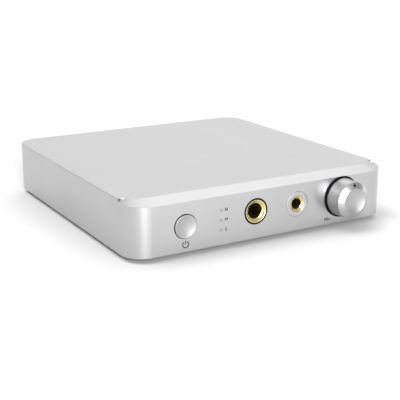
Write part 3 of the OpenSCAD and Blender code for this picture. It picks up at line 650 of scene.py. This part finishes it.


# the button's return spring, which in the real switch shortens as the button goes in; here it is
# one fixed coil

def makeSpring():
    spring = {"wire": 0.2, "turns": 6, "travel": 1.0, "steps": 32}
    low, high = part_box("switch_spring")
    centre = (low + high) / 2
    wire = spring["wire"] * mm
    length = high.y - low.y
    bpy.ops.object.select_all(action="DESELECT")
    bpy.ops.mesh.primitive_circle_add(vertices=10, radius=wire, rotation=(math.pi / 2, 0, 0),
                                      location=((high.x - low.x) / 2 - wire, 0, 0))
    piece = bpy.context.object
    piece.name = "return_spring"
    bpy.ops.object.transform_apply(location=True, rotation=True, scale=True)
    applyModifier(piece, "SCREW", {"axis": "Z", "iterations": spring["turns"],
                                   "screw_offset": (length - 2 * wire) / spring["turns"],
                                   "steps": spring["steps"], "use_merge_vertices": False})
    pick(piece, "VERT", lambda v, m: True)
    bpy.ops.mesh.fill_holes(sides=0)  # both ends of the wire
    bpy.ops.mesh.select_all(action="SELECT")
    bpy.ops.mesh.normals_make_consistent(inside=False)
    bpy.ops.object.mode_set(mode="OBJECT")
    piece.rotation_euler[0] = -math.pi / 2
    piece.location = (centre.x, low.y + wire, centre.z)
    bpy.ops.object.transform_apply(location=True, rotation=True, scale=True)
    soften(piece, sharpAngle=50)
    finish(piece, "spring_steel", paint["spring"], "switch_spring")
    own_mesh(piece)


makeSpring()
print("return spring done")


# the headphone sockets as seen from the front: sleeves, the black ring and the bright bezel

def tube(name, size, node):
    # a plain ring through the wall, with its two front edges rounded off
    inner, outer, out, k = (size[key] for key in ("inner", "outer", "out", "round"))
    steps = [(inner, size["back"]), (outer, size["back"]), (outer, out - k),
             (outer - 0.3 * k, out - 0.3 * k), (outer - k, out), (inner + k, out),
             (inner + 0.3 * k, out - 0.3 * k), (inner, out - k), (inner, size["back"])]
    return turned(name, steps, "front", frontPlace(node))


def sleeve(name, size, node):
    # a turned sleeve with a rounded lip and a funnel that leads the plug in
    bore, outer, out, back = (size[key] for key in ("bore", "outer", "out", "back"))
    mouth = outer - size["lip"] - 0.08
    steps = [(bore, back), (outer, back), (outer, out - 0.08), (outer - 0.08, out),
             (mouth + 0.08, out), (mouth, out - 0.03)]
    steps += [(bore + (mouth - bore) * (1 - t),
               out - 0.03 - size["funnel"] * (1 - (1 - t) ** 1.3)) for t in (0.25, 0.5, 0.75, 1.0)]
    steps += [(bore, back)]
    return turned(name, steps, "front", frontPlace(node))


def makeSockets():
    ring = {"inner": 4.675, "outer": 5.25, "back": -3, "out": 0.15, "round": 0.1}
    large = {"bore": 3.225, "outer": 4.625, "back": -9, "out": 0.1, "funnel": 0.95, "lip": 0.2}
    bezel = {"inner": 3.37, "outer": 5.15, "back": -3, "out": 0.1, "round": 0.08}
    small = {"bore": 2.25, "outer": 3.32, "back": -7, "out": 0.1, "funnel": 0.75, "lip": 0.16}
    piece = tube("large_socket_black_ring", ring, "large_socket_ring")
    soften(piece)
    finish(piece, "black_plastic", paint["gloss"], "large_socket_ring")
    piece = sleeve("large_socket_gold_sleeve", large, "large_socket_sleeve")
    soften(piece, sharpAngle=34)
    finish(piece, "gold_plate", paint["gold"], "large_socket_sleeve")
    piece = tube("small_socket_silver_bezel", bezel, "small_socket_bezel")
    soften(piece)
    finish(piece, "control_aluminium", paint["bezel"], "small_socket_bezel")
    piece = sleeve("small_socket_gold_sleeve", small, "small_socket_sleeve")
    soften(piece, sharpAngle=34)
    finish(piece, "gold_plate", paint["gold"], "small_socket_sleeve")


makeSockets()
print("sockets done")


# the three light pipes, with a low dome where they reach the front face

def makeLightPipes():
    pipe = {"radius": 0.615, "dome": 0.03, "flange": 1.0, "flangeThick": 0.8}
    radius, dome, wall = pipe["radius"], pipe["dome"], shell["front"]
    steps = [(pipe["flange"], -wall - pipe["flangeThick"]), (pipe["flange"], -wall),
             (radius, -wall), (radius, -0.05), (radius * 0.9, dome * 0.35),
             (radius * 0.65, dome * 0.75), (radius * 0.25, dome)]
    for gain in ("low", "medium", "high"):
        node = "light_pipe_" + gain
        piece = turned("gain_light_" + gain, steps, "front", frontPlace(node), 40)
        soften(piece, sharpAngle=45)
        finish(piece, "light_pipe_acrylic", paint["pipe"], node)


makeLightPipes()
print("gain lights done")


# printed legends: thin ink films that stand 0.02 mm off the surface

ink = {"rise": 0.02, "root": 0.03, "bold": 0.065}


def inkPiece(piece, material):
    piece.data.materials.clear()
    piece.data.materials.append(material)
    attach(piece, "chassis")
    return piece


def word(name, text, x, y, z, height, towards, material):
    # text is set flat, made a mesh, and only then put in its place; capitals are 0.7 of its size
    bpy.ops.object.select_all(action="DESELECT")
    bpy.ops.object.text_add()
    piece = bpy.context.object
    piece.name = name
    piece.data.body = text
    piece.data.size = height / 0.7 * mm
    piece.data.align_x = "CENTER"
    piece.data.align_y = "CENTER"
    piece.data.extrude = (ink["rise"] + ink["root"]) / 2 * mm
    twice = "M" in text  # an M made bolder runs into itself, so it is struck twice instead
    piece.data.offset = 0 if twice else ink["bold"] * mm
    bpy.ops.object.convert(target="MESH")
    piece = bpy.context.object
    bpy.ops.object.mode_set(mode="EDIT")
    bpy.ops.mesh.select_all(action="SELECT")
    bpy.ops.mesh.remove_doubles(threshold=0.0005 * mm)
    bpy.ops.object.mode_set(mode="OBJECT")
    if twice:
        cut(piece, copyTo(piece, name + "_again", (ink["bold"] * mm, 0, 0)), "UNION")
    out = (ink["rise"] - ink["root"]) / 2
    if towards == "front":
        piece.rotation_euler = (math.pi / 2, 0, 0)
        piece.location = (x * mm, (y - out) * mm, z * mm)
    else:
        piece.rotation_euler = (math.pi / 2, 0, math.pi)
        piece.location = (x * mm, (y + out) * mm, z * mm)
    bpy.ops.object.transform_apply(location=True, rotation=True, scale=True)
    return inkPiece(piece, material)


def arc(name, radius, line, x, z, start, sweep, steps=40):
    # a ring or part of a ring, from a small bar that is spun on the front face
    out = ink["rise"]
    piece = block(name, (radius - line / 2, frontMm - out, -line / 8),
                  (radius + line / 2, frontMm + ink["root"], line / 8))
    pick(piece, "FACE", lambda f, m: f.normal.z > 0.9)
    bpy.ops.mesh.spin(steps=steps, angle=math.radians(-sweep), center=(0, 0, 0), axis=(0, 1, 0))
    closeUp()
    piece.rotation_euler[1] = math.radians(-start)
    piece.location = (x * mm, 0, z * mm)
    bpy.ops.object.transform_apply(location=True, rotation=True, scale=True)
    return piece


def makeLegends():
    legend = {"power": 2.5, "powerZ": 5.0, "line": 0.4, "gap": 70, "barLow": 0.1, "barHigh": 0.25,
              "letter": 1.24, "letterX": 2.4, "limit": 1.35, "limitX": 6.9, "limitZ": 4.4}
    x, half, z = middle("power_button").x / mm, legend["line"] / 2, legend["powerZ"]
    radius = legend["power"] / 2
    ring = arc("power_mark_ring", radius, legend["line"], x, z, 90 - legend["gap"] / 2,
               360 - legend["gap"])
    inkPiece(ring, paint["ink"])
    bar = block("power_mark_bar", (x - half, frontMm - ink["rise"], z + legend["barLow"]),
                (x + half, frontMm + ink["root"], z + radius + legend["barHigh"]))
    inkPiece(bar, paint["ink"])
    for gain in ("low", "medium", "high"):
        spot = middle("light_pipe_" + gain) / mm
        word("gain_letter_" + gain, gain[0].upper(), spot.x + legend["letterX"], frontMm, spot.z,
             legend["letter"], "front", paint["ink"])
    knob = middle("volume_knob") / mm
    for text, side in (("Min", -1), ("Max", 1)):
        word("volume_" + text, text, knob.x + side * legend["limitX"], frontMm, legend["limitZ"],
             legend["limit"], "front", paint["ink"])


makeLegends()
print("front legends done")


# the rear panel and its screws; the connectors behind it all stand at one height

connectorHeight = middle("line_out_left").z


def makeRearPanel():
    panel = {"edge": 0.2, "nose": 4.6, "collar": 4.55, "inlet": 4.1, "screwHead": 1.8,
             "sink": [(1.95, 0.1), (1.85, 0.0), (1.05, -1.0), (1.05, -2)],
             "screw": [(0.95, -3.5), (1.0, -3.4), (1.0, -1.0), (1.74, -0.12), (1.76, -0.04),
                       (1.7, 0.0)],
             "key": [(0.6, 0.2), (0.6, -0.7)]}
    low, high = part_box("rear_panel")
    piece = block("rear_cover_panel", low / mm, high / mm)
    bores = {"balanced_left_body": panel["nose"], "balanced_right_body": panel["nose"],
             "line_out_left": panel["collar"], "line_out_right": panel["collar"],
             "line_in_left": panel["collar"], "line_in_right": panel["collar"],
             "inlet_body": panel["inlet"]}
    for node, radius in bores.items():
        spot = Vector((middle(node).x, rear, connectorHeight))
        cut(piece, turned("panel_drill", [(radius, -3), (radius, past)], "rear", spot, 64))
    low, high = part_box("rear_panel_screws")
    r = panel["screwHead"] * mm
    spots = {side + "_" + level: Vector((x, rear, z))
             for level, z in (("low", low.z + r), ("high", high.z - r))
             for side, x in (("left", low.x + r), ("right", high.x - r))}
    for spot in spots.values():
        cut(piece, turned("panel_sink", panel["sink"], "rear", spot, 40))
    soften(piece, panel["edge"], bevelAngle=60)
    finish(piece, "black_aluminium", paint["black"], "rear_panel")

    screw = turned("panel_screw", panel["screw"], "rear", (0, 0, 0), 40)
    cut(screw, turned("key", panel["key"], "rear", (0, 0, 0), 6))
    soften(screw)
    for name, spot in spots.items():
        piece = copyTo(screw, "panel_screw_" + name, spot)
        finish(piece, "black_screw", paint["screw"], "rear_panel_screws")
    bpy.data.objects.remove(screw)


makeRearPanel()
print("rear panel done")


# the phono sockets: grooved gold barrels over white and red cores

def makePhonoSockets():
    phono = {"barrel": 4.15, "inner": 3.55, "collar": 4.45, "back": -1.6, "out": 8.8,
             "groove": (5.2, 5.9), "grooveDepth": 0.18, "core": 3.5, "coreOut": 7.2, "pin": 1.65,
             "pinDepth": 8}
    barrel, inner, collar = phono["barrel"], phono["inner"], phono["collar"]
    back, out, (grooveBack, grooveOut) = phono["back"], phono["out"], phono["groove"]
    floor = barrel - phono["grooveDepth"]
    steps = [(inner, back), (collar, back), (collar, -0.05), (collar - 0.05, 0.0),
             (barrel + 0.1, 0.0), (barrel, 0.1), (barrel, grooveBack), (floor, grooveBack + 0.15),
             (floor, grooveOut - 0.15), (barrel, grooveOut), (barrel, out - 0.25),
             (barrel - 0.08, out - 0.07), (barrel - 0.25, out), (inner + 0.15, out),
             (inner, out - 0.15), (inner, back)]
    tube = turned("phono_barrel", steps, "rear", (0, 0, 0), 72)
    soften(tube, sharpAngle=34)
    core, pin, out = phono["core"], phono["pin"], phono["coreOut"]
    steps = [(core, back), (core, out - 0.2), (core - 0.2, out), (pin + 0.35, out),
             (pin, out - 0.35), (pin, out - phono["pinDepth"])]
    plug = turned("phono_core", steps, "rear", (0, 0, 0), 64)
    soften(plug, sharpAngle=34)
    for pair in ("line_out", "line_in"):
        for side, colour in (("left", "white"), ("right", "red")):
            node = pair + "_" + side
            spot = rearPlace(node)
            finish(copyTo(tube, node + "_barrel", spot), "gold_plate",
                   paint["gold"], node)
            finish(copyTo(plug, node + "_core", spot), "white_plastic",
                   paint[colour], "phono_cores")
    bpy.data.objects.remove(tube)
    bpy.data.objects.remove(plug)


makePhonoSockets()
print("phono sockets done")


# the two balanced outputs: bodies whose noses come through the panel, each held by a nut

def makeBalancedSockets():
    balanced = {"nose": 4.5, "out": 3.4, "bore": 3.225, "boreEnd": -29.6, "panelBack": 1.6,
                "nut": 6.3, "nutThick": 2.4, "nutHole": 4.55, "nutEdge": 0.08}
    nose, bore, out, back = (balanced[key] for key in ("nose", "bore", "out", "panelBack"))
    corner, thick = balanced["nut"], balanced["nutThick"]
    nut = turned("balanced_nut", [(corner, 0.0), (corner, thick)], "rear", (0, 0, 0), 6)
    # a ring takes the six corners off the nut's outer face
    cut(nut, turned("nut_chamfer", [(9, -0.1), (9, thick + 0.1), (corner - 0.55, thick + 0.1),
                                    (corner + 0.15, thick - 0.35), (corner + 0.15, -0.1),
                                    (9, -0.1)], "rear", (0, 0, 0)))
    cut(nut, turned("nut_bore", [(balanced["nutHole"], -past), (balanced["nutHole"], 4)], "rear",
                    (0, 0, 0), 72))
    soften(nut, balanced["nutEdge"], sharpAngle=25)
    for side in ("left", "right"):
        node = "balanced_" + side + "_body"
        low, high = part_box(node)
        spot = Vector((middle(node).x, rear, connectorHeight))
        finish(copyTo(nut, "balanced_nut_" + side, spot), "black_plastic",
               paint["nylon"], "balanced_nuts")
        piece = block("balanced_socket_" + side, low / mm,
                      (high.x / mm, rearMm - back, high.z / mm))
        steps = [(nose, -back - 1), (nose, out - 0.2), (nose - 0.06, out - 0.06),
                 (nose - 0.2, out), (bore + 0.75, out), (bore, out - 0.75), (bore, -back - 0.5)]
        cut(piece, turned("nose", steps, "rear", spot, 72), "UNION")
        cut(piece, turned("bore", [(bore, out + 0.5), (bore, balanced["boreEnd"])], "rear", spot,
                          72))
        soften(piece, sharpAngle=28)
        finish(piece, "black_plastic", paint["gloss"], node)
    bpy.data.objects.remove(nut)


makeBalancedSockets()
print("balanced sockets done")


# the power inlet and its pin

def makeInlet():
    inlet = {"nose": 4.0, "out": 0.3, "bore": 2.9, "boreEnd": -9.2, "panelBack": 1.6}
    nose, bore, out = inlet["nose"], inlet["bore"], inlet["out"]
    low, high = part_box("inlet_body")
    spot = rearPlace("inlet_pin")
    piece = block("power_inlet_socket", low / mm,
                  (high.x / mm, rearMm - inlet["panelBack"], high.z / mm))
    cut(piece, turned("nose", [(nose, -inlet["panelBack"] - 1), (nose, out - 0.12),
                               (nose - 0.12, out), (bore + 0.3, out)], "rear", spot, 64), "UNION")
    cut(piece, turned("bore", [(bore + 0.31, out + 0.01), (bore, out - 0.3),
                               (bore, inlet["boreEnd"])], "rear", spot, 64))
    soften(piece, sharpAngle=28)
    finish(piece, "black_plastic", paint["gloss"], "inlet_body")
    low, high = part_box("inlet_pin")
    back, tip = (low.y - rear) / mm, (high.y - rear) / mm
    r = (high.x - low.x) / 2 / mm
    pin = turned("power_inlet_pin", [(r, back), (r, tip - 0.5), (r * 0.9, tip - 0.25),
                                     (r * 0.6, tip - 0.06), (r * 0.25, tip)], "rear", spot, 48)
    soften(pin, sharpAngle=50)
    finish(pin, "nickel_steel", paint["nickel"], "inlet_pin")


makeInlet()
print("power inlet done")


# pale legends on the rear panel

def makeRearLegends():
    label = {"height": 1.35, "z": 19.15, "low": 6.2}
    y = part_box("rear_panel")[1].y / mm
    balancedX = (middle("balanced_left_body").x + middle("balanced_right_body").x) / 2
    spots = [("balanced_label", "BALANCED OUT", balancedX),
             ("line_out_label", "LINE OUT", middle("line_out_block").x),
             ("line_in_label", "LINE IN", middle("line_in_block").x),
             ("inlet_label", "DC IN", middle("inlet_body").x)]
    for name, text, x in spots:
        word(name, text, x / mm, y, label["z"], label["height"], "rear", paint["paleInk"])
    for node in ("line_out_left", "line_out_right", "line_in_left", "line_in_right"):
        word(node + "_letter", "L" if node.endswith("left") else "R", middle(node).x / mm, y,
             label["low"], label["height"], "rear", paint["paleInk"])


makeRearLegends()
print("rear legends done")


# CAD nodes that stay as they are, mostly inside, each with the finish of its real material

carried = {
    "nylon": ["switch_body", "lights_header", "large_socket_body", "small_socket_body",
              "line_out_block", "line_in_block"],
    "board": ["main_board", "lights_board"],
    "brass": ["board_spacers"],
    "nickel": ["board_screws", "volume_body", "volume_bushing", "volume_washer", "volume_nut",
               "volume_shaft"],
    "gold": ["large_socket_contacts", "small_socket_contacts"],
    "white": ["switch_plunger", "volume_wipers"],
    "led": ["light_led_low", "light_led_medium", "light_led_high"],
    "phenolic": ["volume_tracks"],
    "screw": ["knob_screw"],
    "sleeve": ["capacitors"],
    "relay": ["relays"],
    "epoxy": ["amplifier_chips"],
    "ferrite": ["power_coils"],
}
for finishName, nodes in carried.items():
    for node in nodes:
        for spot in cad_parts[node].material_slots:
            spot.material = paint[finishName]
print("carried-over nodes painted")


# studio: a pale floor, a pale room, soft boxes and the camera

def makeStudio():
    studio = {"floor": "#f4f4f4", "fleck": "#f1f1f1", "floorSize": 14, "room": "#ffffff",
              "roomStrength": 0.52, "daylight": 1.3, "daylightSpread": 35,
              "daylightWay": (0.45, -0.15, -0.88)}
    bpy.ops.object.select_all(action="DESELECT")
    bpy.ops.mesh.primitive_plane_add(size=studio["floorSize"], location=(0, 0, 0))
    floor = bpy.context.object
    floor.name = "floor"
    # matt white background paper: no shine, with a faint fleck of fibres
    material, tree, shader, place = startMaterial("matt_white_paper", {"Roughness": 0.9})
    fibre = addNode(tree, "TexNoise", {"Scale": 1 / (2 * mm), "Detail": 2.0}, {"Vector": place})
    colour = addNode(tree, "Mix", {"data_type": "RGBA", 6: hexColour(studio["floor"]),
                                   7: hexColour(studio["fleck"])}, {0: fibre.outputs["Fac"]})
    tree.links.new(colour.outputs[2], shader.inputs["Base Color"])
    floor.data.materials.append(material)

    world = bpy.data.worlds.new("pale_room")
    bpy.context.scene.world = world
    world.use_nodes = True
    sky = world.node_tree.nodes["Background"]
    sky.inputs["Color"].default_value = hexColour(studio["room"])
    sky.inputs["Strength"].default_value = studio["roomStrength"]

    bpy.ops.object.light_add(type="SUN", location=(0, 0, 1))
    daylight = bpy.context.object
    daylight.name = "overhead_daylight"
    daylight.data.energy = studio["daylight"]
    daylight.data.angle = math.radians(studio["daylightSpread"])
    way = Vector(studio["daylightWay"])
    daylight.rotation_euler = way.to_track_quat("-Z", "Y").to_euler()

    # direction round from +X and height above the floor in degrees, distance in metres
    lamps = {
        "back_panel": {"round": 70, "up": 24, "far": 2.3, "size": (3.4, 1.6), "watts": 11},
        "high_softbox": {"round": 50, "up": 47, "far": 1.6, "size": (1.0, 0.7), "watts": 2.8},
        "front_strip": {"round": -108, "up": 13, "far": 1.0, "size": (0.12, 0.45), "watts": 7},
        "front_fill": {"round": -92, "up": 14, "far": 0.9, "size": (0.5, 0.4), "watts": 3.5},
        "right_panel": {"round": 12, "up": 4, "far": 0.8, "size": (0.5, 0.16), "watts": 1.2},
    }
    target = Vector((0, 0, 0.01))
    for name, lamp in lamps.items():
        around = math.radians(lamp["round"])
        up = math.radians(lamp["up"])
        way = Vector((math.cos(around) * math.cos(up), math.sin(around) * math.cos(up),
                      math.sin(up)))
        bpy.ops.object.light_add(type="AREA", location=target + lamp["far"] * way)
        light = bpy.context.object
        light.name = name
        light.data.shape = "RECTANGLE"
        light.data.size = lamp["size"][0]
        light.data.size_y = lamp["size"][1]
        light.data.energy = lamp["watts"]
        light.rotation_euler = (-way).to_track_quat("-Z", "Y").to_euler()

    view = {"lens": 79.6, "at": (-0.1873, -0.3313, 0.1134), "along": (0.4802, 0.8303, -0.2829)}
    bpy.ops.object.camera_add(location=view["at"])
    camera = bpy.context.object
    camera.name = "camera"
    camera.data.lens = view["lens"]
    camera.rotation_euler = Vector(view["along"]).to_track_quat("-Z", "Y").to_euler()
    camera.data.clip_start = 0.01
    bpy.context.scene.camera = camera
    bpy.context.scene.view_settings.view_transform = "Standard"
    bpy.context.scene.cycles.caustics_reflective = False  # no light patches thrown by the metal


makeStudio()

print("all pieces made")
